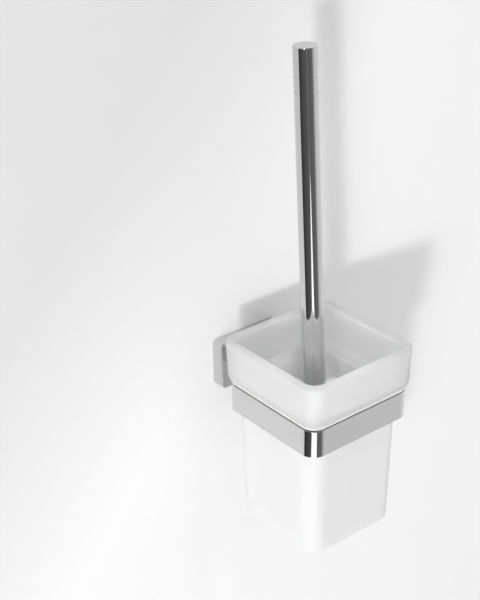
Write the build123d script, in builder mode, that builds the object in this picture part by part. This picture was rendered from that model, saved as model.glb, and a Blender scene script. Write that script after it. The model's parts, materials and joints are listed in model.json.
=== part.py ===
"""Wall-mounted toilet brush holder: bracket, cover plate, arm, square ring, glass cup and brush.

Millimetres. The origin is the centre of the wall bracket's back face, on the wall plane y = 0.
+Z is up, +X runs along the wall and the object stands out towards -Y.
"""

import os

from build123d import *

os.makedirs("parts", exist_ok=True)

# ---------------------------------------------------------------- driving dimensions

# cover plate on the wall
PLATE_W = 62.6
PLATE_H = 41.3
PLATE_T = 11.1
PLATE_CORNER_R = 4.5
PLATE_EDGE_R = 1.0
PLATE_WALL = 2.5
PLATE_FRONT = 3.0
RIB_BELOW_BACK = 0.3
RIB_FROM_WALL = 0.4
RIB_FRONT_GAP = 0.2
RIB_SHORTER = 3.0
BOSS_W = 9.0
BOSS_H = 3.5
BOSS_GAP = 0.2
BOSS_SUNK = 1.5
OVERLAP = 1.0

# bracket under the cover, a dovetail that is wider at its front
BRACKET_W = 48.0
BRACKET_T = 6.0
BRACKET_BACK_H = 24.0
BRACKET_FRONT_H = 30.0
WALL_HOLE_R = 2.25
WALL_HOLE_PITCH = 30.0
WALL_HOLE_HEAD_R = 4.6
BRACKET_CORNER_R = 2.0
BEVEL_GAP = 0.1

# square ring
RING_SIDE = 100.0
RING_H = 23.5
RING_WALL = 3.0
RING_CORNER_R = 11.4
RING_EDGE_R = 0.45
RING_STEP_H = 1.2
RING_STEP_W = 1.7
RING_TOP = 9.3
RING_Y = -89.6

# arm between the plate and the ring
ARM_W = 28.0
ARM_H = 14.0
ARM_EDGE_R = 2.0
ARM_HOLE_DEPTH = 11.0

# M4 fasteners
M4_R = 2.0
M4_CLEAR_R = 2.2
M4_HEAD_R = 3.8
HEAD_GAP = 0.1
HEAD_SUNK = 0.05
RECESS_L = 3.6
RECESS_W = 0.8
RECESS_DEPTH = 1.3
RECESS_TAPER = 12
TIP_BEVEL = 0.5
ARM_SCREW_PITCH = 16.0
ARM_SCREW_LENGTH = 12.0
GRUB_LENGTH = 5.9
GRUB_POINT = 1.1
GRUB_BEVEL = 0.3
GRUB_HOLE_DEPTH = 5.2
GRUB_Y = -4.0
HEX_HALF = 1.0
HEX_DEPTH = 2.4
FIT_GAP = 0.03

# plastic seat between the ring and the glass
LINER_T = 0.75
LINER_FLANGE_T = 0.8
LINER_FLANGE_SIDE = 99.2
LINER_FLANGE_EDGE_R = 0.25
LINER_SKIRT_H = 19.0
LINER_GAP = 0.05
LINER_REST_GAP = 0.02

# glass cup, half sides measured from its own axis
CUP_BASE_Z = -110.4
CUP_RIM_Z = 45.2
CUP_BASE_HALF = 43.5
CUP_NECK_HALF = 45.75
CUP_BELLY_HALF = 52.1
CUP_RIM_HALF = 53.1
CUP_SHOULDER_H = 7.0
CUP_SHOULDER_R = 8.3
CUP_SEAT_GAP = 0.05
CUP_NECK_OVERLAP = 2.0
CUP_STEP_BELOW = 4.0
CUP_STEP_ABOVE = 5.0
CUP_BOWL_R = 9.0
CUP_LOWER_R = 14.0
CUP_UPPER_R = 12.5
CUP_FLOOR_T = 8.8
CUP_LOWER_WALL = 4.0
CUP_UPPER_WALL = 7.3
CUP_RIM_R = 1.9
CUP_BASE_R = 4.0

# brush, leaning a little in the cup
LEAN_ABOUT_X = -1.61
LEAN_ABOUT_Y = -1.34
FOOT_X = 1.0
FOOT_Y = RING_Y - 0.9
FOOT_Z = -100.7
HEAD_R = 36.0
HEAD_BOTTOM = -0.5
HEAD_CORE_R = 13.0
HEAD_CORE_BEVEL = 4.0
HEAD_CORE_BOTTOM = 20.0
HEAD_CORE_TOP = 101.0
HEAD_BRISTLE_TOP = 98.0
HEAD_TOP_BEVEL_R = 2.0
HEAD_TOP_BEVEL_H = 5.0
HEAD_ROUND_R = 9.0
HEAD_END_DISH = 1.0
BRISTLE_GAP = 0.05
NECK_R = 8.0
NECK_FLARE = 1.0
NECK_FLARE_H = 2.0
NECK_TOP = 105.0

# handle and its thread, M8 x 1.25
HANDLE_R = 8.75
HANDLE_BORE_R = 7.55
HANDLE_TOP = 374.2
TUBE_BEVEL = 0.3
CAP_T = 3.0
CAP_EDGE_R = 0.6
CAP_PLUG_L = 9.0
CAP_PLUG_WALL = 1.5
GROOVE_DEPTHS = (10.0, 21.0, 32.0)
GROOVE_W = 0.7
GROOVE_DEPTH = 0.3
WASHER_T = 1.5
WASHER_R = 8.2
WASHER_EDGE_R = 0.3
STUD_R = 3.95
STUD_HOLE_GAP = 0.1
STUD_MOULDED_L = 18.0
STUD_BEVEL = 0.8
STUD_SPARE_L = 1.5
STUD_TURNS = 6
THREAD_PITCH = 1.25
BUSH_BORE_R = 4.0
BUSH_L = 16.0

# ---------------------------------------------------------------- worked-out places

RING_MID = RING_TOP - RING_H / 2
RING_BACK_Y = RING_Y + RING_SIDE / 2
CUP_SEAT_Z = RING_TOP + LINER_FLANGE_T + CUP_SEAT_GAP
CUP_FLOOR_Z = CUP_BASE_Z + CUP_FLOOR_T
HANDLE_BOTTOM = NECK_TOP + WASHER_T

foot_plane = Plane(
    origin=(FOOT_X, FOOT_Y, FOOT_Z), x_dir=(1, 0, 0), z_dir=(0, 0, 1)
).rotated((LEAN_ABOUT_X, LEAN_ABOUT_Y, 0))
profile_plane = Plane(
    origin=foot_plane.origin, x_dir=foot_plane.x_dir, z_dir=-foot_plane.y_dir
)
brush_axis = Axis(foot_plane.origin, foot_plane.z_dir)


# ---------------------------------------------------------------- helpers


def square(side, corner_r, z):
    """A closed rounded square centred on the ring's axis at height z."""
    with BuildSketch(Plane((0, RING_Y, z))) as sketch:
        RectangleRounded(side, side, corner_r)
    return sketch.sketch


def along_brush(height):
    """A plane square to the brush, at that distance from the cup's floor."""
    return foot_plane.offset(height)


def save(builder, name):
    """Labels a finished piece and writes its STEP file."""
    builder.part.label = name
    export_step(builder.part, f"parts/{name}.step")


# ---------------------------------------------------------------- wall side

# bracket: the bevelled edges hold the cover's rib above and its grub screw below
with BuildPart() as wall_bracket:
    with BuildSketch(Plane.YZ):
        with BuildLine():
            Polyline(
                (0, -BRACKET_BACK_H / 2),
                (0, BRACKET_BACK_H / 2),
                (-BRACKET_T, BRACKET_FRONT_H / 2),
                (-BRACKET_T, -BRACKET_FRONT_H / 2),
                close=True,
            )
        make_face()
    extrude(amount=BRACKET_W / 2, both=True)
    for end in (0, -1):
        end_edges = wall_bracket.faces().sort_by(Axis.X)[end].edges()
        corner_edges = end_edges.sort_by(Edge.length)[0:2]
        fillet(corner_edges, BRACKET_CORNER_R)
    with Locations(Plane((0, -BRACKET_T, 0), x_dir=(1, 0, 0), z_dir=(0, -1, 0))):
        with GridLocations(WALL_HOLE_PITCH, 1, 2, 1):
            CounterSinkHole(WALL_HOLE_R, WALL_HOLE_HEAD_R, counter_sink_angle=90)
save(wall_bracket, "wall_bracket")

# cover: a shallow chromed box, open at the wall
with BuildPart() as wall_plate:
    with BuildSketch(Plane.XZ):
        RectangleRounded(PLATE_W, PLATE_H, PLATE_CORNER_R)
    extrude(amount=PLATE_T)
    fillet(wall_plate.faces().sort_by(Axis.Y)[0].edges(), PLATE_EDGE_R)
    with BuildSketch(Plane.XZ):
        RectangleRounded(
            PLATE_W - 2 * PLATE_WALL, PLATE_H - 2 * PLATE_WALL, PLATE_CORNER_R - PLATE_WALL / 2
        )
    extrude(amount=PLATE_T - PLATE_FRONT, mode=Mode.SUBTRACT)
    # rib that hooks over the bracket's upper bevel
    hollow_top = PLATE_H / 2 - PLATE_WALL
    rib_low_back = BRACKET_BACK_H / 2 + RIB_BELOW_BACK
    rib_front_y = -BRACKET_T + RIB_FRONT_GAP
    with BuildSketch(Plane.YZ):
        with BuildLine():
            Polyline(
                (-RIB_FROM_WALL, rib_low_back),
                (-RIB_FROM_WALL, hollow_top + OVERLAP),
                (rib_front_y, hollow_top + OVERLAP),
                (rib_front_y, BRACKET_FRONT_H / 2 + BEVEL_GAP),
                close=True,
            )
        make_face()
    extrude(amount=BRACKET_W / 2 - RIB_SHORTER, both=True)
    # boss for the grub screw
    hollow_depth = PLATE_T - PLATE_FRONT
    with Locations((0, -BOSS_GAP, -hollow_top - BOSS_SUNK)):
        Box(
            BOSS_W,
            hollow_depth,
            BOSS_H,
            align=(Align.CENTER, Align.MAX, Align.MIN),
        )
    with Locations(Plane((0, GRUB_Y, -PLATE_H / 2), x_dir=(1, 0, 0), z_dir=(0, 0, -1))):
        Hole(M4_R, depth=GRUB_HOLE_DEPTH)
    # countersunk holes for the arm's screws, headed inside the hollow
    with Locations(
        Plane((0, -hollow_depth, RING_MID), x_dir=(1, 0, 0), z_dir=(0, 1, 0))
    ):
        with GridLocations(ARM_SCREW_PITCH, 1, 2, 1):
            CounterSinkHole(
                M4_CLEAR_R, M4_HEAD_R, depth=PLATE_FRONT + OVERLAP, counter_sink_angle=90
            )
save(wall_plate, "wall_plate")

# grub screw with a hexagon socket in its lower end and a cone point on the bracket's bevel
GRUB_BOTTOM = -PLATE_H / 2 + GRUB_BEVEL
with BuildPart() as grub_screw:
    with BuildSketch(Plane((0, GRUB_Y, GRUB_BOTTOM))):
        Circle(M4_R - FIT_GAP)
    extrude(amount=GRUB_LENGTH)
    chamfer(grub_screw.faces().sort_by(Axis.Z)[-1].edges(), GRUB_POINT)
    chamfer(grub_screw.faces().sort_by(Axis.Z)[0].edges(), GRUB_BEVEL)
    with BuildSketch(Plane((0, GRUB_Y, GRUB_BOTTOM))):
        RegularPolygon(HEX_HALF, 6, major_radius=False)
    extrude(amount=HEX_DEPTH, mode=Mode.SUBTRACT)
save(grub_screw, "grub_screw")

# arm: a bar with rounded long edges and two threaded holes in each end
with BuildPart() as support_arm:
    with BuildSketch(Plane((0, -PLATE_T, RING_MID), x_dir=(1, 0, 0), z_dir=(0, -1, 0))):
        RectangleRounded(ARM_W, ARM_H, ARM_EDGE_R)
    extrude(amount=-PLATE_T - RING_BACK_Y)
    for end_y, outward in ((-PLATE_T, 1), (RING_BACK_Y, -1)):
        with Locations(Plane((0, end_y, RING_MID), x_dir=(1, 0, 0), z_dir=(0, outward, 0))):
            with GridLocations(ARM_SCREW_PITCH, 1, 2, 1):
                Hole(M4_R, depth=ARM_HOLE_DEPTH)
save(support_arm, "support_arm")


def countersunk_pair(head_y, outward, name):
    """Two countersunk M4 screws, heads flush with the plane y = head_y, as one node."""
    head_plane = Plane((0, head_y, RING_MID), x_dir=(1, 0, 0), z_dir=(0, outward, 0))
    with BuildPart() as screws:
        with Locations(head_plane):
            with GridLocations(ARM_SCREW_PITCH, 1, 2, 1):
                Cylinder(
                    M4_R - FIT_GAP, ARM_SCREW_LENGTH, align=(Align.CENTER, Align.CENTER, Align.MAX)
                )
                Cone(
                    M4_R - FIT_GAP,
                    M4_HEAD_R - HEAD_GAP,
                    M4_HEAD_R - HEAD_GAP - M4_R + FIT_GAP,
                    align=(Align.CENTER, Align.CENTER, Align.MAX),
                )
        # cross recess
        with BuildSketch(head_plane):
            with GridLocations(ARM_SCREW_PITCH, 1, 2, 1):
                Rectangle(RECESS_L, RECESS_W)
                Rectangle(RECESS_W, RECESS_L)
        extrude(amount=-RECESS_DEPTH, taper=RECESS_TAPER, mode=Mode.SUBTRACT)
        tips = screws.faces().filter_by(Axis.Y).sort_by(Axis.Y, reverse=outward < 0)[0:2]
        chamfer(tips.edges(), TIP_BEVEL)
    save(screws, name)


countersunk_pair(-hollow_depth - HEAD_SUNK, 1, "arm_screws")
countersunk_pair(RING_BACK_Y - RING_WALL + HEAD_SUNK, -1, "ring_screws")

# ---------------------------------------------------------------- ring

# band: its top edge is stepped on the outside, which leaves a joint line under the seat's flange
lip_side = RING_SIDE - 2 * RING_STEP_W
inside_side = RING_SIDE - 2 * RING_WALL
with BuildPart() as ring_band:
    with BuildSketch(Plane((0, RING_Y, RING_TOP - RING_H))):
        RectangleRounded(RING_SIDE, RING_SIDE, RING_CORNER_R)
    extrude(amount=RING_H - RING_STEP_H)
    faces_by_height = ring_band.faces().sort_by(Axis.Z)
    fillet(faces_by_height[0].edges() + faces_by_height[-1].edges(), RING_EDGE_R)
    with BuildSketch(Plane((0, RING_Y, RING_TOP - RING_STEP_H))):
        RectangleRounded(lip_side, lip_side, RING_CORNER_R - RING_STEP_W)
    extrude(amount=RING_STEP_H)
    with BuildSketch(Plane((0, RING_Y, RING_TOP - RING_H))):
        RectangleRounded(inside_side, inside_side, RING_CORNER_R - RING_WALL)
    extrude(amount=RING_H, mode=Mode.SUBTRACT)
    with Locations(
        Plane((0, RING_BACK_Y - RING_WALL, RING_MID), x_dir=(1, 0, 0), z_dir=(0, -1, 0))
    ):
        with GridLocations(ARM_SCREW_PITCH, 1, 2, 1):
            CounterSinkHole(
                M4_CLEAR_R, M4_HEAD_R, depth=RING_WALL + OVERLAP, counter_sink_angle=90
            )
save(ring_band, "ring_band")

# seat: a skirt inside the ring with a flange over its top edge
skirt_side = inside_side - 2 * LINER_GAP
flange_corner_r = RING_CORNER_R - (RING_SIDE - LINER_FLANGE_SIDE) / 2
with BuildPart() as ring_liner:
    with BuildSketch(Plane((0, RING_Y, RING_TOP + LINER_FLANGE_T))):
        RectangleRounded(skirt_side, skirt_side, RING_CORNER_R - RING_WALL)
    extrude(amount=-LINER_SKIRT_H - LINER_FLANGE_T)
    with BuildSketch(Plane((0, RING_Y, RING_TOP + LINER_REST_GAP))):
        RectangleRounded(LINER_FLANGE_SIDE, LINER_FLANGE_SIDE, flange_corner_r)
    extrude(amount=LINER_FLANGE_T - LINER_REST_GAP)
    fillet(ring_liner.faces().sort_by(Axis.Z)[-1].edges(), LINER_FLANGE_EDGE_R)
    with BuildSketch(Plane((0, RING_Y, RING_TOP + LINER_FLANGE_T))):
        RectangleRounded(
            skirt_side - 2 * LINER_T, skirt_side - 2 * LINER_T, RING_CORNER_R - RING_WALL - LINER_T
        )
    extrude(amount=-LINER_SKIRT_H - LINER_FLANGE_T, mode=Mode.SUBTRACT)
save(ring_liner, "ring_liner")

# ---------------------------------------------------------------- glass cup

# the bowl's underside is rounded until its arc would be level, then cut off flat at the seat
arc_start = CUP_SEAT_Z + CUP_SHOULDER_H - CUP_SHOULDER_R
with BuildPart() as glass_cup:
    # upper bowl with its rounded shoulder
    loft(
        [
            square(2 * CUP_BELLY_HALF, CUP_UPPER_R, arc_start),
            square(2 * CUP_RIM_HALF, CUP_UPPER_R, CUP_RIM_Z),
        ],
        ruled=True,
    )
    fillet(glass_cup.faces().sort_by(Axis.Z)[0].edges(), CUP_SHOULDER_R)
    split(bisect_by=Plane.XY.offset(CUP_SEAT_Z), keep=Keep.TOP)
    # tapered body that hangs through the ring
    loft(
        [
            square(2 * CUP_BASE_HALF, CUP_LOWER_R, CUP_BASE_Z),
            square(2 * CUP_NECK_HALF, CUP_LOWER_R, CUP_SEAT_Z + CUP_NECK_OVERLAP),
        ],
        ruled=True,
    )
    fillet(glass_cup.faces().sort_by(Axis.Z)[0].edges(), CUP_BASE_R)
    # cavity: lower well, sloped step and upper bowl
    well_r = CUP_LOWER_R - CUP_LOWER_WALL
    step_low = CUP_SEAT_Z - CUP_STEP_BELOW
    step_high = CUP_SEAT_Z + CUP_STEP_ABOVE
    well_top_half = CUP_NECK_HALF - CUP_LOWER_WALL
    bowl_low_half = CUP_BELLY_HALF - CUP_UPPER_WALL
    bowl_top_half = CUP_RIM_HALF - CUP_UPPER_WALL
    cavity_levels = (
        (CUP_FLOOR_Z, CUP_BASE_HALF - CUP_LOWER_WALL, well_r),
        (step_low, well_top_half, well_r),
        (step_high, bowl_low_half, CUP_BOWL_R),
        (CUP_RIM_Z, bowl_top_half, CUP_BOWL_R),
    )
    for lower, upper in zip(cavity_levels, cavity_levels[1:]):
        loft(
            [square(2 * half, r, z) for z, half, r in (lower, upper)],
            ruled=True,
            mode=Mode.SUBTRACT,
        )
    fillet(glass_cup.edges().group_by(Axis.Z)[-1], CUP_RIM_R)
save(glass_cup, "glass_cup")

# ---------------------------------------------------------------- brush head

with BuildPart() as brush_core:
    with BuildSketch(profile_plane):
        with BuildLine():
            Polyline(
                (0, HEAD_CORE_BOTTOM),
                (HEAD_CORE_R - HEAD_CORE_BEVEL, HEAD_CORE_BOTTOM),
                (HEAD_CORE_R, HEAD_CORE_BOTTOM + HEAD_CORE_BEVEL),
                (HEAD_CORE_R, HEAD_CORE_TOP),
                (NECK_R + NECK_FLARE, HEAD_CORE_TOP + NECK_FLARE_H),
                (NECK_R, NECK_TOP),
                (0, NECK_TOP),
                close=True,
            )
        make_face()
    revolve(axis=brush_axis)
    with BuildSketch(along_brush(NECK_TOP)):
        Circle(STUD_R)
    extrude(amount=-STUD_MOULDED_L, mode=Mode.SUBTRACT)
save(brush_core, "brush_core")

# bristles: the outer shape of the filaments, round the core and under it
bristle_r = HEAD_CORE_R + BRISTLE_GAP
side_bottom = HEAD_CORE_BOTTOM + HEAD_CORE_BEVEL
with BuildPart() as side_bristles:
    with BuildSketch(profile_plane):
        with BuildLine():
            Polyline(
                (bristle_r, side_bottom),
                (bristle_r, HEAD_BRISTLE_TOP),
                (HEAD_R - HEAD_TOP_BEVEL_R, HEAD_BRISTLE_TOP),
                (HEAD_R, HEAD_BRISTLE_TOP - HEAD_TOP_BEVEL_H),
                (HEAD_R, side_bottom),
                close=True,
            )
        make_face()
    revolve(axis=brush_axis)
save(side_bristles, "side_bristles")

with BuildPart() as end_bristles:
    with BuildSketch(profile_plane):
        with BuildLine():
            Polyline(
                (0, HEAD_BOTTOM),
                (HEAD_R - HEAD_ROUND_R, HEAD_BOTTOM + HEAD_END_DISH),
                (HEAD_R, HEAD_BOTTOM + HEAD_ROUND_R + HEAD_END_DISH),
                (HEAD_R, side_bottom - BRISTLE_GAP),
                (bristle_r, side_bottom - BRISTLE_GAP),
                (bristle_r - HEAD_CORE_BEVEL, HEAD_CORE_BOTTOM - BRISTLE_GAP),
                (0, HEAD_CORE_BOTTOM - BRISTLE_GAP),
                close=True,
            )
        make_face()
    revolve(axis=brush_axis)
save(end_bristles, "end_bristles")

# stud: its lower half is moulded into the core, its upper half enters the handle's bush
stud_length = STUD_TURNS * THREAD_PITCH + WASHER_T + STUD_SPARE_L
with BuildPart() as head_stud:
    with BuildSketch(along_brush(NECK_TOP - STUD_MOULDED_L)):
        Circle(STUD_R)
    extrude(amount=STUD_MOULDED_L + stud_length)
    chamfer(head_stud.faces().sort_by(brush_axis)[-1].edges(), STUD_BEVEL)
save(head_stud, "head_stud")

# ---------------------------------------------------------------- handle

with BuildPart() as seal_washer:
    with BuildSketch(along_brush(NECK_TOP)):
        Circle(WASHER_R)
        Circle(STUD_R + STUD_HOLE_GAP, mode=Mode.SUBTRACT)
    extrude(amount=WASHER_T)
    fillet(seal_washer.edges().group_by(Edge.length)[-1], WASHER_EDGE_R)
save(seal_washer, "seal_washer")

with BuildPart() as handle_bush:
    with BuildSketch(along_brush(HANDLE_BOTTOM)):
        Circle(HANDLE_BORE_R)
        Circle(BUSH_BORE_R, mode=Mode.SUBTRACT)
    extrude(amount=BUSH_L)
save(handle_bush, "handle_bush")

with BuildPart() as handle_tube:
    with BuildSketch(profile_plane):
        with BuildLine():
            Polyline(
                (HANDLE_BORE_R, HANDLE_BOTTOM),
                (HANDLE_R, HANDLE_BOTTOM),
                (HANDLE_R, HANDLE_TOP - CAP_T),
                (HANDLE_BORE_R, HANDLE_TOP - CAP_T),
                close=True,
            )
        make_face()
    revolve(axis=brush_axis)
    for depth in GROOVE_DEPTHS:
        with BuildSketch(along_brush(HANDLE_TOP - depth - GROOVE_W / 2)):
            Circle(HANDLE_R + OVERLAP)
            Circle(HANDLE_R - GROOVE_DEPTH, mode=Mode.SUBTRACT)
        extrude(amount=GROOVE_W, mode=Mode.SUBTRACT)
    bottom_edges = handle_tube.faces().sort_by(brush_axis)[0].edges()
    chamfer(bottom_edges.sort_by(Edge.length)[-1], TUBE_BEVEL)
save(handle_tube, "handle_tube")

with BuildPart() as handle_cap:
    with BuildSketch(profile_plane):
        with BuildLine():
            Polyline(
                (0, HANDLE_TOP),
                (HANDLE_R, HANDLE_TOP),
                (HANDLE_R, HANDLE_TOP - CAP_T),
                (HANDLE_BORE_R, HANDLE_TOP - CAP_T),
                (HANDLE_BORE_R, HANDLE_TOP - CAP_T - CAP_PLUG_L),
                (HANDLE_BORE_R - CAP_PLUG_WALL, HANDLE_TOP - CAP_T - CAP_PLUG_L),
                (HANDLE_BORE_R - CAP_PLUG_WALL, HANDLE_TOP - CAP_T),
                (0, HANDLE_TOP - CAP_T),
                close=True,
            )
        make_face()
    revolve(axis=brush_axis)
    fillet(handle_cap.faces().sort_by(brush_axis)[-1].edges(), CAP_EDGE_R)
save(handle_cap, "handle_cap")
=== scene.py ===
"""The looks of a wall-mounted toilet brush holder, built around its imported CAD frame. Metres."""

import json
import math
import random

import bpy
from mathutils import Matrix, Vector


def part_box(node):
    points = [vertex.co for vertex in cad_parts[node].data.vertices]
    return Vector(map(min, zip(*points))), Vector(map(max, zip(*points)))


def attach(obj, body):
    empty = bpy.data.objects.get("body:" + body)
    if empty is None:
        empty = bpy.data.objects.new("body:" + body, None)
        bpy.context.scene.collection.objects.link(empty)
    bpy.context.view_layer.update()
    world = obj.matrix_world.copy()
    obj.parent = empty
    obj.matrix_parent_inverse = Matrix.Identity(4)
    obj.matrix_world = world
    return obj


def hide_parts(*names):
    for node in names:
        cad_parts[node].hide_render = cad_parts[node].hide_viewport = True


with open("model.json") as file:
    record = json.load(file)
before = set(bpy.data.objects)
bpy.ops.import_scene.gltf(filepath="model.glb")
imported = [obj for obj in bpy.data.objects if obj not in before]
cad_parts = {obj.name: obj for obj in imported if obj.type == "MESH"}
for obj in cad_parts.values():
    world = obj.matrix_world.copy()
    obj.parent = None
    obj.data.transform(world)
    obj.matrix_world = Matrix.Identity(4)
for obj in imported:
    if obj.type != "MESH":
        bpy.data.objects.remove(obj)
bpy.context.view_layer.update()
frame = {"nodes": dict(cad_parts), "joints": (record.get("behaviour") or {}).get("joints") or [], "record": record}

MM = 0.001

# ---------------------------------------------------------------- places taken from the frame

ring_low, ring_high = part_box("ring_band")
RING_TOP_CENTRE = Vector(
    ((ring_low.x + ring_high.x) / 2, (ring_low.y + ring_high.y) / 2, ring_high.z)
)
WALL_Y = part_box("wall_bracket")[1].y
handle_turn = next(j for j in frame["joints"] if j["name"] == "handle_turn")
BRUSH_FOOT = Vector(handle_turn["pos_m"])
BRUSH_AXIS = Vector(handle_turn["axis"]).normalized()
BRUSH_TILT = Vector((0, 0, 1)).rotation_difference(BRUSH_AXIS).to_matrix()


def along_brush(node):
    """(lowest height, highest height, radius) of a node, measured along the brush's axis."""
    offsets = [v.co - BRUSH_FOOT for v in frame["nodes"][node].data.vertices]
    heights = [p.dot(BRUSH_AXIS) for p in offsets]
    radius = max((p - BRUSH_AXIS * h).length for p, h in zip(offsets, heights))
    return min(heights), max(heights), radius


def on_brush(point):
    """A point given from the brush's foot, with z along its axis, in the frame's coordinates."""
    return BRUSH_FOOT + BRUSH_TILT @ Vector(point)


# ---------------------------------------------------------------- camera

CAMERA_AZIMUTH = math.radians(-38.63)
CAMERA_ELEVATION = math.radians(27.56)
CAMERA_ROLL = math.radians(-0.85)
CAMERA_DISTANCE = 1.0100
CAMERA_ASIDE = 0.05925
CAMERA_RISE = -0.06364
LENS_MM = 79.54
SENSOR_MM = 36
CLIP_START = 0.05
CLIP_END = 50


def make_camera():
    """A camera that looks down at the ring from the front left."""
    level = math.cos(CAMERA_ELEVATION)
    back = Vector(
        (
            math.sin(CAMERA_AZIMUTH) * level,
            -math.cos(CAMERA_AZIMUTH) * level,
            math.sin(CAMERA_ELEVATION),
        )
    )
    level_right = Vector((0, 0, 1)).cross(back).normalized()
    level_up = back.cross(level_right)
    right = math.cos(CAMERA_ROLL) * level_right + math.sin(CAMERA_ROLL) * level_up
    up = back.cross(right)
    place = RING_TOP_CENTRE + back * CAMERA_DISTANCE - right * CAMERA_ASIDE - up * CAMERA_RISE
    data = bpy.data.cameras.new("camera")
    data.lens = LENS_MM
    data.sensor_width = SENSOR_MM
    data.clip_start = CLIP_START
    data.clip_end = CLIP_END
    camera = bpy.data.objects.new("camera", data)
    turn = Matrix((right, up, back)).transposed().to_4x4()
    camera.matrix_world = Matrix.Translation(place) @ turn
    bpy.context.scene.collection.objects.link(camera)
    bpy.context.scene.camera = camera


# ---------------------------------------------------------------- node materials


class Finish:
    """One procedural material: a Principled shader, textured in the object's own coordinates."""

    def __init__(self, name, colour, roughness, metallic=0.0):
        self.material = bpy.data.materials.new(name)
        self.material.use_nodes = True
        self.nodes = self.material.node_tree.nodes
        self.links = self.material.node_tree.links
        self.shader = self.nodes["Principled BSDF"]
        self.shader.inputs["Base Color"].default_value = (*colour, 1)
        self.shader.inputs["Roughness"].default_value = roughness
        self.shader.inputs["Metallic"].default_value = metallic
        self.shader.inputs["Subsurface Radius"].default_value = (1, 1, 1)
        self.coordinates = self.nodes.new("ShaderNodeTexCoord")

    def set(self, socket, value):
        """A value that is the same all over the surface."""
        self.shader.inputs[socket].default_value = value

    def noise(self, grain, detail=3.0, stretch=(1, 1, 1), distortion=0.0):
        """A noise whose grains are about that many metres across, longer where stretch is small."""
        mapping = self.nodes.new("ShaderNodeMapping")
        mapping.inputs["Scale"].default_value = [s / grain for s in stretch]
        texture = self.nodes.new("ShaderNodeTexNoise")
        texture.inputs["Scale"].default_value = 1.0
        texture.inputs["Detail"].default_value = detail
        texture.inputs["Distortion"].default_value = distortion
        self.links.new(self.coordinates.outputs["Object"], mapping.inputs["Vector"])
        self.links.new(mapping.outputs["Vector"], texture.inputs["Vector"])
        return texture.outputs["Fac"]

    def drift(self, direction):
        """The distance along a direction from the object's origin, in metres."""
        along = self.nodes.new("ShaderNodeVectorMath")
        along.operation = "DOT_PRODUCT"
        along.inputs[1].default_value = direction
        self.links.new(self.coordinates.outputs["Object"], along.inputs[0])
        return along.outputs["Value"]

    def spread(self, source, low, high, start=0.3, end=0.7):
        """The source's range from start to end, stretched to low to high."""
        reach = self.nodes.new("ShaderNodeMapRange")
        reach.inputs["From Min"].default_value = start
        reach.inputs["From Max"].default_value = end
        reach.inputs["To Min"].default_value = low
        reach.inputs["To Max"].default_value = high
        self.links.new(source, reach.inputs["Value"])
        return reach.outputs["Result"]

    def roughen(self, source, low, high, start=0.3, end=0.7):
        """Roughness that follows the source."""
        self.links.new(self.spread(source, low, high, start, end), self.shader.inputs["Roughness"])

    def tint(self, source, dark, light, start=0.3, end=0.7):
        """Colour that follows the source."""
        blend = self.nodes.new("ShaderNodeMix")
        blend.data_type = "RGBA"
        for colour in (s for s in blend.inputs if s.type == "RGBA"):
            colour.default_value = (*(dark if colour.name == "A" else light), 1)
        self.links.new(self.spread(source, 0, 1, start, end), blend.inputs["Factor"])
        result = next(s for s in blend.outputs if s.type == "RGBA")
        self.links.new(result, self.shader.inputs["Base Color"])

    def emboss(self, source, height, strength=1.0):
        """Relief of that height in metres; a second call adds to the first."""
        bump = self.nodes.new("ShaderNodeBump")
        bump.inputs["Strength"].default_value = strength
        bump.inputs["Distance"].default_value = height
        self.links.new(source, bump.inputs["Height"])
        normal = self.shader.inputs["Normal"]
        if normal.links:
            self.links.new(normal.links[0].from_socket, bump.inputs["Normal"])
        self.links.new(bump.outputs["Normal"], normal)


CHROME_COLOUR = (0.64, 0.64, 0.64)
GLASS_COLOUR = (0.985, 0.986, 0.986)
GLASS_IOR = 1.5
GLASS_DEPTH = 6 * MM
BOWL_FADE_START = 5 * MM
BOWL_FADE_END = 15 * MM
SEE_THROUGH_BELOW = 0.25
SEE_THROUGH_BOWL = 0.58
PLATING_DARK = 0.86
PLATING_LIGHT = 1.1
PLASTIC_DEPTH = 1.5 * MM
NYLON_DEPTH = 2 * MM

# how a noise is stretched; a small number makes its grains long that way
ALONG_X = (0.03, 1, 1)
ALONG_Z = (1, 1, 0.03)
AROUND_Z = (0.05, 0.05, 1)
EVEN = (1, 1, 1)


def chrome(name, lengthwise):
    """Polished chrome: faint orange-peel, hairline polishing marks along one direction."""
    finish = Finish(name, CHROME_COLOUR, roughness=0.05, metallic=1.0)
    finish.roughen(finish.noise(grain=14 * MM, detail=5), low=0.035, high=0.075)
    finish.emboss(finish.noise(grain=9 * MM, detail=1), height=0.004 * MM)
    hairlines = finish.noise(grain=0.5 * MM, stretch=lengthwise, detail=2)
    finish.emboss(hairlines, height=0.0006 * MM)
    return finish.material


def frosted_glass():
    """Satin-etched white glass: most light is scattered inside it and a little passes through."""
    finish = Finish("frosted_glass", GLASS_COLOUR, roughness=0.42)
    see_through = finish.spread(
        finish.drift((0, 0, 1)), SEE_THROUGH_BELOW, SEE_THROUGH_BOWL, BOWL_FADE_START, BOWL_FADE_END
    )
    finish.links.new(see_through, finish.shader.inputs["Transmission Weight"])
    finish.set("IOR", GLASS_IOR)
    finish.set("Subsurface Weight", 1.0)
    finish.set("Subsurface Scale", GLASS_DEPTH)
    finish.roughen(finish.noise(grain=6 * MM, detail=4), low=0.38, high=0.48)
    finish.tint(
        finish.noise(grain=22 * MM, detail=3),
        dark=(0.975, 0.977, 0.977),
        light=(0.988, 0.989, 0.989),
    )
    finish.emboss(finish.noise(grain=0.35 * MM, detail=2), height=0.004 * MM)
    return finish.material


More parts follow.
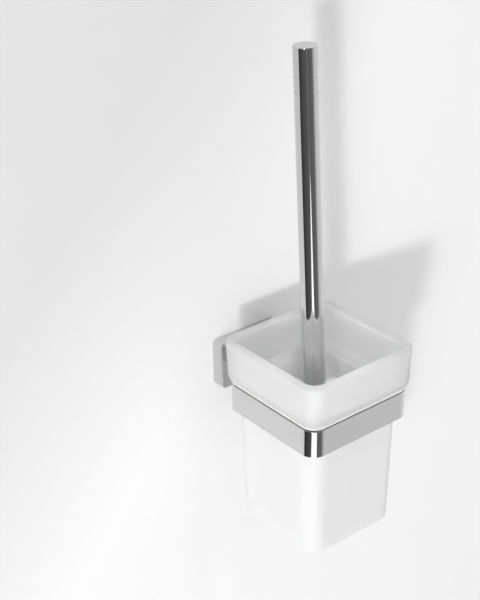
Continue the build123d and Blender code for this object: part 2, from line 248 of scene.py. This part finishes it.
def satin_steel(name, colour, grain_stretch):
    """Zinc-plated steel with short brushed grain and cloudy plating."""
    finish = Finish(name, colour, roughness=0.35, metallic=1.0)
    cloud = finish.noise(grain=3 * MM, detail=4)
    finish.roughen(cloud, low=0.26, high=0.44)
    finish.tint(cloud, [c * PLATING_DARK for c in colour], [min(1, c * PLATING_LIGHT) for c in colour])
    brushing = finish.noise(grain=0.25 * MM, stretch=grain_stretch, detail=3)
    finish.emboss(brushing, height=0.008 * MM)
    return finish.material


def moulded_plastic(name, dark, light, roughness, see_through=0.0):
    """Injection-moulded plastic: fine spark-eroded grain, soft sinks and slight colour drift."""
    finish = Finish(name, light, roughness)
    finish.set("Subsurface Weight", 0.15)
    finish.set("Subsurface Scale", PLASTIC_DEPTH)
    finish.set("Transmission Weight", see_through)
    finish.tint(finish.noise(grain=12 * MM, detail=3), dark, light)
    patches = finish.noise(grain=2 * MM, detail=3)
    finish.roughen(patches, low=roughness - 0.05, high=roughness + 0.08)
    finish.emboss(finish.noise(grain=0.3 * MM, detail=2), height=0.006 * MM)
    return finish.material


def nylon():
    """White nylon filament: soft, a little glossy, each one a slightly different white."""
    finish = Finish("bristle_nylon", (0.92, 0.92, 0.915), roughness=0.4)
    finish.set("Subsurface Weight", 0.3)
    finish.set("Subsurface Scale", NYLON_DEPTH)
    finish.tint(
        finish.noise(grain=1.2 * MM, detail=2), dark=(0.92, 0.92, 0.918), light=(0.98, 0.98, 0.978)
    )
    finish.roughen(finish.noise(grain=0.8 * MM), low=0.32, high=0.5)
    return finish.material


def rubber():
    """Black rubber with a dusty bloom."""
    finish = Finish("washer_rubber", (0.03, 0.03, 0.03), roughness=0.7)
    bloom = finish.noise(grain=1.5 * MM, detail=4)
    finish.tint(bloom, dark=(0.022, 0.022, 0.022), light=(0.06, 0.06, 0.06))
    finish.roughen(bloom, low=0.6, high=0.8)
    finish.emboss(finish.noise(grain=0.2 * MM), height=0.02 * MM)
    return finish.material


def turned_brass():
    """Machined brass with turning rings across its axis."""
    finish = Finish("bush_brass", (0.72, 0.56, 0.3), roughness=0.25, metallic=1.0)
    rings = finish.noise(grain=0.3 * MM, stretch=AROUND_Z, detail=2)
    finish.roughen(rings, low=0.18, high=0.34)
    finish.tint(finish.noise(grain=2 * MM), dark=(0.6, 0.45, 0.22), light=(0.76, 0.6, 0.34))
    finish.emboss(rings, height=0.006 * MM)
    return finish.material


def make_finishes():
    """One material for each of the record's slots."""
    return {
        "fitting_chrome": chrome("fitting_chrome", ALONG_X),
        "handle_chrome": chrome("handle_chrome", ALONG_Z),
        "bracket_steel": satin_steel("bracket_steel", (0.55, 0.55, 0.56), ALONG_X),
        "screw_steel": satin_steel("screw_steel", (0.62, 0.62, 0.63), EVEN),
        "liner_plastic": moulded_plastic(
            "liner_plastic", (0.93, 0.932, 0.932), (0.96, 0.962, 0.962), 0.35, see_through=0.1
        ),
        "frosted_glass": frosted_glass(),
        "core_plastic": moulded_plastic(
            "core_plastic", (0.84, 0.84, 0.835), (0.9, 0.9, 0.895), 0.28
        ),
        "bristle_nylon": nylon(),
        "washer_rubber": rubber(),
        "bush_brass": turned_brass(),
    }


def dress_cad_nodes(finishes):
    """Gives every carried-over CAD node its slot's material."""
    for subpart in frame["record"]["subparts"]:
        node = frame["nodes"][subpart["node"]]
        node.data.materials.clear()
        node.data.materials.append(finishes[subpart["material_slot"]])


# ---------------------------------------------------------------- bristles

FILAMENT_RADIUS = 0.26 * MM
FILAMENT_SIDES = 3
FILAMENT_STATIONS = (0.0, 0.4, 0.75, 1.0)
FILAMENT_TAPER = 0.35
TUFT_FILAMENTS = 22
TUFT_RADIUS = 1.5 * MM
TUFT_ROOT_SHARE = 0.5
TUFT_SPREAD = 0.15
BOW_MM = 0.6
DRAW_SEED = 7
ROW_PITCH = 5.2 * MM
ROW_TUFTS = 18
TOP_ROW_DROP = 3 * MM
TOP_ROW_LIFT = 0.12
LIFT_POWER = 4
ROOT_DEPTH = 1 * MM
LENGTH_SPREAD = 0.7 * MM
END_MARGIN = 0.9 * MM
SIDE_MARGIN = 0.3 * MM
EDGE_BEVEL = 6 * MM
EDGE_MARGIN = 0.7 * MM
NO_SPEED = 1e-6

# rings of end tufts: radius in mm, tufts, lean in degrees, turn as a share of a tuft, root height in mm
END_RINGS = (
    (0, 1, 0.0, 0.0, 1),
    (4, 7, 10.0, 0.5, 1),
    (8, 13, 24.0, 0.0, 1),
    (11.5, 18, 42.0, 0.5, 1),
    (12.5, 18, 62.0, 0.5, 3),
    (12.5, 18, 78.0, 0.5, 3),
)


def add_filament(verts, faces, root, tip, bow):
    """A thin bowed rod from root to tip, a third thinner at its blunt tip."""
    line = tip - root
    side = line.orthogonal().normalized()
    other = line.cross(side).normalized()
    first = len(verts)
    for share in FILAMENT_STATIONS:
        centre = root + line * share + bow * (4 * share * (1 - share))
        radius = FILAMENT_RADIUS * (1 - FILAMENT_TAPER * share)
        for corner in range(FILAMENT_SIDES):
            angle = 2 * math.pi * corner / FILAMENT_SIDES
            across = side * (radius * math.cos(angle))
            verts.append(centre + across + other * (radius * math.sin(angle)))
    for ring in range(len(FILAMENT_STATIONS) - 1):
        for corner in range(FILAMENT_SIDES):
            a = first + ring * FILAMENT_SIDES + corner
            b = first + ring * FILAMENT_SIDES + (corner + 1) % FILAMENT_SIDES
            faces.append((a, b, b + FILAMENT_SIDES, a + FILAMENT_SIDES))
    last = first + (len(FILAMENT_STATIONS) - 1) * FILAMENT_SIDES
    faces.append(tuple(last + corner for corner in range(FILAMENT_SIDES)))
    faces.append(tuple(first + corner for corner in reversed(range(FILAMENT_SIDES))))


class Envelope:
    """The bristle head's outer shape: a cylinder with a bevelled lower edge."""

    def __init__(self, bottom, top, radius, bevel):
        self.bottom = bottom
        self.top = top
        self.radius = radius
        self.bevel = bevel

    def reach(self, root, direction):
        """How far a filament can grow from root along direction, in brush coordinates."""
        outward = math.hypot(direction.x, direction.y)
        root_r = math.hypot(root.x, root.y)
        limits = []
        if outward > NO_SPEED:
            limits.append((self.radius - root_r) / outward)
        if direction.z < -NO_SPEED:
            limits.append((root.z - self.bottom) / -direction.z)
        if direction.z > NO_SPEED:
            limits.append((self.top - root.z) / direction.z)
        bevel_speed = outward - direction.z
        if bevel_speed > NO_SPEED:
            room = (self.radius - root_r) + (root.z - self.bottom) - self.bevel
            limits.append(room / bevel_speed)
        return min(limits)


def grow_tuft(verts, faces, draw, envelope, root, direction):
    """One tuft: filaments from one hole in the core, fanning out to the head's outline."""
    side = direction.orthogonal().normalized()
    other = direction.cross(side).normalized()
    for _ in range(TUFT_FILAMENTS):
        angle = draw.uniform(0, 2 * math.pi)
        share = math.sqrt(draw.random())
        offset = side * math.cos(angle) + other * math.sin(angle)
        start = root + offset * (TUFT_RADIUS * TUFT_ROOT_SHARE * share)
        heading = (direction + offset * (TUFT_SPREAD * share)).normalized()
        length = envelope.reach(start, heading) - draw.uniform(0, LENGTH_SPREAD)
        bow = offset * draw.uniform(-BOW_MM, BOW_MM) * MM
        tip = start + heading * length
        add_filament(verts, faces, on_brush(start), on_brush(tip), BRUSH_TILT @ bow)


def mesh_piece(name, verts, faces, material, smooth=True):
    """A new mesh object with one material."""
    data = bpy.data.meshes.new(name)
    data.from_pydata([tuple(v) for v in verts], [], faces)
    data.materials.append(material)
    data.update()
    if smooth:
        data.shade_smooth()
    piece = bpy.data.objects.new(name, data)
    bpy.context.scene.collection.objects.link(piece)
    return piece


def make_bristles(finish):
    """Side and end tufts of the brush head, in place of its two plain solids."""
    core_low, _, core_radius = along_brush("brush_core")
    side_low, side_high, head_radius = along_brush("side_bristles")
    end_low, _, _ = along_brush("end_bristles")
    envelope = Envelope(
        bottom=end_low + END_MARGIN,
        top=side_high,
        radius=head_radius - SIDE_MARGIN,
        bevel=EDGE_BEVEL + EDGE_MARGIN,
    )
    draw = random.Random(DRAW_SEED)

    verts, faces = [], []
    rows = int((side_high - side_low) / ROW_PITCH)
    for row in range(rows + 1):
        height = side_low + (side_high - side_low - TOP_ROW_DROP) * row / rows
        lift = TOP_ROW_LIFT * (row / rows) ** LIFT_POWER
        for tuft in range(ROW_TUFTS):
            angle = 2 * math.pi * (tuft + 0.5 * (row % 2)) / ROW_TUFTS
            outward = Vector((math.cos(angle), math.sin(angle), lift)).normalized()
            root = Vector((math.cos(angle), math.sin(angle), 0)) * (core_radius - ROOT_DEPTH)
            root.z = height
            grow_tuft(verts, faces, draw, envelope, root, outward)
    side = mesh_piece("side_tufts", verts, faces, finish)
    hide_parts("side_bristles")

    verts, faces = [], []
    for radius_mm, count, lean, turn, root_mm in END_RINGS:
        slope = math.radians(lean)
        for tuft in range(count):
            angle = 2 * math.pi * (tuft + turn) / count
            outward = Vector((math.cos(angle), math.sin(angle), 0))
            heading = outward * math.sin(slope) - Vector((0, 0, math.cos(slope)))
            root = outward * (radius_mm * MM)
            root.z = core_low + root_mm * MM
            grow_tuft(verts, faces, draw, envelope, root, heading)
    end = mesh_piece("end_tufts", verts, faces, finish)
    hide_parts("end_bristles")

    for piece in (side, end):
        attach(piece, "head")


# ---------------------------------------------------------------- threaded stud

THREAD_PITCH = 1.25 * MM
THREAD_DEPTH = 0.6 * MM
THREAD_END_TAPER = 0.7 * MM
STEPS_ROUND = 40
STEPS_PER_PITCH = 6


def make_stud(finish):
    """The M8 stud with a real helical thread, in place of its plain cylinder."""
    low, high, radius = along_brush("head_stud")
    rows = int((high - low) / THREAD_PITCH * STEPS_PER_PITCH)
    verts, faces = [], []
    for row in range(rows + 1):
        height = low + (high - low) * row / rows
        fade = min(1.0, (high - height) / THREAD_PITCH)
        for step in range(STEPS_ROUND):
            turn = step / STEPS_ROUND
            phase = (height / THREAD_PITCH - turn) % 1.0
            groove = abs(2 * phase - 1)
            r = (radius - THREAD_END_TAPER * (1 - fade)) - THREAD_DEPTH * groove
            angle = 2 * math.pi * turn
            verts.append(on_brush((r * math.cos(angle), r * math.sin(angle), height)))
    for row in range(rows):
        for step in range(STEPS_ROUND):
            a = row * STEPS_ROUND + step
            b = row * STEPS_ROUND + (step + 1) % STEPS_ROUND
            faces.append((a, b, b + STEPS_ROUND, a + STEPS_ROUND))
    faces.append(tuple(reversed(range(STEPS_ROUND))))
    faces.append(tuple(rows * STEPS_ROUND + step for step in range(STEPS_ROUND)))
    stud = mesh_piece("stud_thread", verts, faces, finish, smooth=False)
    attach(stud, "head")
    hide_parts("head_stud")


# ---------------------------------------------------------------- stage

WALL_REACH = 2.5
FLOOR_DROP = 0.46
PANEL_LEFT = -0.325
WALL_GAP = 0.1 * MM
WINDOW_INSET = 3 * MM
# painted light: the wall's colour runs from painted shade at the upper left to painted light at the lower right
WALL_PAINTED_LIGHT_TOWARD = (0.43, 0, -0.35)
WALL_PAINTED_SHADE = 0.70
WALL_PAINTED_LIT = 0.87
# painted light: the floor's colour runs a little lighter towards the right
FLOOR_PAINTED_LIGHT_TOWARD = (0.1, 0, 0)
FLOOR_PAINTED_SHADE = 0.74
FLOOR_PAINTED_LIT = 0.76
PAINTED_LIGHT_START = -0.12
PAINTED_LIGHT_END = -0.02


def one_sided_paint_with_painted_light(name, dark, light, direction):
    """Matt white paint with painted light: lighter along a direction as a painted falloff of light, and it can't
    be seen from behind.
    """
    finish = Finish(name, (light, light, light), roughness=0.85)
    along = finish.drift(direction)
    # painted light falloff: the colour runs from the shaded tone to the lit tone along the direction
    finish.tint(along, (dark, dark, dark), (light, light, light), PAINTED_LIGHT_START, PAINTED_LIGHT_END)
    finish.emboss(finish.noise(grain=3 * MM, detail=3), height=0.05 * MM, strength=0.3)
    geometry = finish.nodes.new("ShaderNodeNewGeometry")
    clear = finish.nodes.new("ShaderNodeBsdfTransparent")
    choose = finish.nodes.new("ShaderNodeMixShader")
    output = finish.nodes["Material Output"]
    finish.links.new(geometry.outputs["Backfacing"], choose.inputs["Fac"])
    finish.links.new(finish.shader.outputs["BSDF"], choose.inputs[1])
    finish.links.new(clear.outputs["BSDF"], choose.inputs[2])
    finish.links.new(choose.outputs["Shader"], output.inputs["Surface"])
    return finish.material


def flat_card(name, corners, paint):
    """A flat stage piece with these corners, facing the side from which they run anticlockwise."""
    card = mesh_piece(name, corners, [tuple(range(len(corners)))], paint, smooth=False)
    return card


def wall_corners(left, right, bottom, top, y):
    """The corners of an upright rectangle that faces -Y."""
    return [(left, y, bottom), (right, y, bottom), (right, y, top), (left, y, top)]


def make_stage():
    """A white wall and a pale floor, both with a painted falloff of light; reflections see only the wall's
    right-hand part.

    A window behind the plate, hidden from the front, lets light reach the bracket's back.
    """
    # the wall's paint carries painted light, lighter towards the lower right
    paint = one_sided_paint_with_painted_light("stage_wall_painted_light", WALL_PAINTED_SHADE, WALL_PAINTED_LIT, WALL_PAINTED_LIGHT_TOWARD)
    floor_z = -FLOOR_DROP
    wall_y = WALL_Y + WALL_GAP
    plate_low, plate_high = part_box("wall_plate")
    outline = wall_corners(PANEL_LEFT, WALL_REACH, floor_z, WALL_REACH, wall_y)
    window = wall_corners(
        plate_low.x + WINDOW_INSET,
        plate_high.x - WINDOW_INSET,
        plate_low.z + WINDOW_INSET,
        plate_high.z - WINDOW_INSET,
        wall_y,
    )
    sides = [(k, (k + 1) % 4, (k + 1) % 4 + 4, k + 4) for k in range(4)]
    mesh_piece("stage_wall_right", outline + window, sides, paint, smooth=False)
    far_wall = flat_card(
        "stage_wall_left",
        wall_corners(-WALL_REACH, PANEL_LEFT, floor_z, WALL_REACH, wall_y),
        paint,
    )
    far_wall.visible_glossy = False
    floor = flat_card(
        "stage_floor",
        [
            (-WALL_REACH, -2 * WALL_REACH, floor_z),
            (WALL_REACH, -2 * WALL_REACH, floor_z),
            (WALL_REACH, wall_y, floor_z),
            (-WALL_REACH, wall_y, floor_z),
        ],
        # the floor's paint carries a slight painted light falloff, lighter towards the right
        one_sided_paint_with_painted_light("stage_floor_painted_light", FLOOR_PAINTED_SHADE, FLOOR_PAINTED_LIT, FLOOR_PAINTED_LIGHT_TOWARD),
    )
    floor.visible_glossy = False


# ---------------------------------------------------------------- the room around it

# brightness of the room that reflections see, by azimuth in degrees (0 is -Y, 90 is +X)
ROOM_BY_AZIMUTH = (
    (-180, 0.5),
    (-125, 0.35),
    (-105, 0.04),
    (-75, 0.088),
    (-50, 0.12),
    (-6, 0.148),
    (19, 0.185),
    (25, 0.34),
    (30, 0.53),
    (40, 0.74),
    (90, 0.92),
    (180, 0.8),
)
STREAK_AZIMUTH = math.radians(-28)
STREAK_TOP = math.radians(-20.8)
STREAK_OPENING = 6.0
STREAK_LEFT_SLOPE = 2.3
STREAK_RIGHT_SLOPE = 0.45
STREAK_RIGHT_START = math.radians(5)
STREAK_SOFTNESS = math.radians(2.5)
STREAK_BRIGHTNESS = 1.7
FAINT_LINE = 0.14
FAINT_LINE_HALF = math.radians(5)
WHITE_ROOM = 0.55
ROOM_LIGHTER_ABOVE = 0.95
BACKDROP = 0.8


class Sums:
    """Arithmetic on a node tree."""

    def __init__(self, tree):
        self.tree = tree

    def do(self, operation, *terms):
        """The result of one Math node; a term is a number or an output socket."""
        node = self.tree.nodes.new("ShaderNodeMath")
        node.operation = operation
        for socket, term in zip(node.inputs, terms):
            if isinstance(term, (int, float)):
                socket.default_value = term
            else:
                self.tree.links.new(term, socket)
        return node.outputs[0]


def make_world():
    """An even white room for light, and a darker patterned one for reflections."""
    world = bpy.data.worlds.new("studio")
    bpy.context.scene.world = world
    world.use_nodes = True
    tree = world.node_tree
    sums = Sums(tree)
    direction = tree.nodes.new("ShaderNodeSeparateXYZ")
    tree.links.new(tree.nodes.new("ShaderNodeTexCoord").outputs["Generated"], direction.inputs[0])
    x, y, z = direction.outputs
    azimuth = sums.do("ARCTAN2", x, sums.do("MULTIPLY", y, -1.0))
    ramp = tree.nodes.new("ShaderNodeValToRGB")
    turn_share = sums.do("MULTIPLY_ADD", azimuth, 1 / (2 * math.pi), 0.5)
    tree.links.new(turn_share, ramp.inputs["Fac"])
    stops = ramp.color_ramp.elements
    while len(stops) > 1:
        stops.remove(stops[-1])
    for number, (degrees, brightness) in enumerate(ROOM_BY_AZIMUTH):
        place = degrees / 360 + 0.5
        stop = stops[0] if number == 0 else stops.new(place)
        stop.position = place
        stop.color = (brightness, brightness, brightness, 1)
    below = sums.do("SUBTRACT", STREAK_TOP, sums.do("ARCSINE", z))
    aside = sums.do("SUBTRACT", azimuth, STREAK_AZIMUTH)
    left_reach = sums.do("MULTIPLY", below, STREAK_LEFT_SLOPE)
    right_reach = sums.do(
        "MINIMUM",
        sums.do("MULTIPLY", below, STREAK_OPENING),
        sums.do("MULTIPLY_ADD", below, STREAK_RIGHT_SLOPE, STREAK_RIGHT_START),
    )
    from_left = sums.do("ADD", aside, left_reach)
    within = sums.do("MINIMUM", from_left, sums.do("SUBTRACT", right_reach, aside))
    inside = sums.do("DIVIDE", within, STREAK_SOFTNESS)
    streak = sums.do("MINIMUM", sums.do("MAXIMUM", inside, 0.0), 1.0)
    off_line = sums.do("DIVIDE", sums.do("ABSOLUTE", aside), FAINT_LINE_HALF)
    on_line = sums.do("MAXIMUM", sums.do("SUBTRACT", 1.0, off_line), 0.0)
    faint = sums.do("MULTIPLY", on_line, FAINT_LINE)
    plain = sums.do("ADD", ramp.outputs["Color"], faint)
    room = sums.do(
        "ADD",
        sums.do("MULTIPLY", plain, sums.do("SUBTRACT", 1.0, streak)),
        sums.do("MULTIPLY", streak, STREAK_BRIGHTNESS),
    )
    path = tree.nodes.new("ShaderNodeLightPath")
    not_through = sums.do("SUBTRACT", 1.0, path.outputs["Is Transmission Ray"])
    mirrored = sums.do("MULTIPLY", path.outputs["Is Glossy Ray"], not_through)
    strength = sums.do(
        "ADD",
        sums.do("MULTIPLY", room, mirrored),
        sums.do(
            "MULTIPLY",
            sums.do("SUBTRACT", 1.0, mirrored),
            sums.do("MULTIPLY_ADD", z, WHITE_ROOM * ROOM_LIGHTER_ABOVE, WHITE_ROOM),
        ),
    )
    seen = path.outputs["Is Camera Ray"]
    strength = sums.do(
        "ADD",
        sums.do("MULTIPLY", strength, sums.do("SUBTRACT", 1.0, seen)),
        sums.do("MULTIPLY", seen, BACKDROP),
    )
    background = tree.nodes["Background"]
    background.inputs["Color"].default_value = (1, 1, 1, 1)
    tree.links.new(strength, background.inputs["Strength"])


# ---------------------------------------------------------------- lamps

LAMP_DISTANCE = 4.0
LAMP_RISE = 0.097
# name, sideways slope of its light, its diameter in degrees, power in watts
LAMPS = (("key_core", 1.18, 5.0, 54.0), ("key_wide", 1.32, 14.0, 30.0))
BOWL_LAMP_PLACE = Vector((-0.13, -0.17, 0.62))
BOWL_LAMP_CONE = math.radians(9.5)
BOWL_LAMP_RADIUS = 0.03
BOWL_LAMP_POWER = 15.0
BOWL_LAMP_BLEND = 0.6


def make_lamps():
    """A lamp at the front left with a bright middle and a soft rim, and one above the bowl."""
    for name, slope, spread, power in LAMPS:
        toward = Vector((-slope, -1, LAMP_RISE)).normalized()
        data = bpy.data.lights.new(name, "AREA")
        data.shape = "DISK"
        data.size = 2 * LAMP_DISTANCE * math.tan(math.radians(spread / 2))
        data.energy = power
        lamp = bpy.data.objects.new(name, data)
        lamp.location = RING_TOP_CENTRE + toward * LAMP_DISTANCE
        lamp.rotation_mode = "QUATERNION"
        lamp.rotation_quaternion = (-toward).to_track_quat("-Z", "Y")
        bpy.context.scene.collection.objects.link(lamp)
    data = bpy.data.lights.new("bowl_lamp", "SPOT")
    data.energy = BOWL_LAMP_POWER
    data.shadow_soft_size = BOWL_LAMP_RADIUS
    data.spot_size = BOWL_LAMP_CONE
    data.spot_blend = BOWL_LAMP_BLEND
    lamp = bpy.data.objects.new("bowl_lamp", data)
    lamp.location = RING_TOP_CENTRE + BOWL_LAMP_PLACE
    lamp.rotation_mode = "QUATERNION"
    lamp.rotation_quaternion = (-BOWL_LAMP_PLACE).to_track_quat("-Z", "Y")
    bpy.context.scene.collection.objects.link(lamp)


# ---------------------------------------------------------------- making it

SCATTER_BOUNCES = 16
ALL_BOUNCES = 24

bpy.context.scene.view_settings.view_transform = "Standard"
bpy.context.scene.cycles.diffuse_bounces = SCATTER_BOUNCES
bpy.context.scene.cycles.max_bounces = ALL_BOUNCES
make_camera()
finishes = make_finishes()
dress_cad_nodes(finishes)
make_bristles(finishes["bristle_nylon"])
make_stud(finishes["screw_steel"])
make_stage()
make_world()
make_lamps()
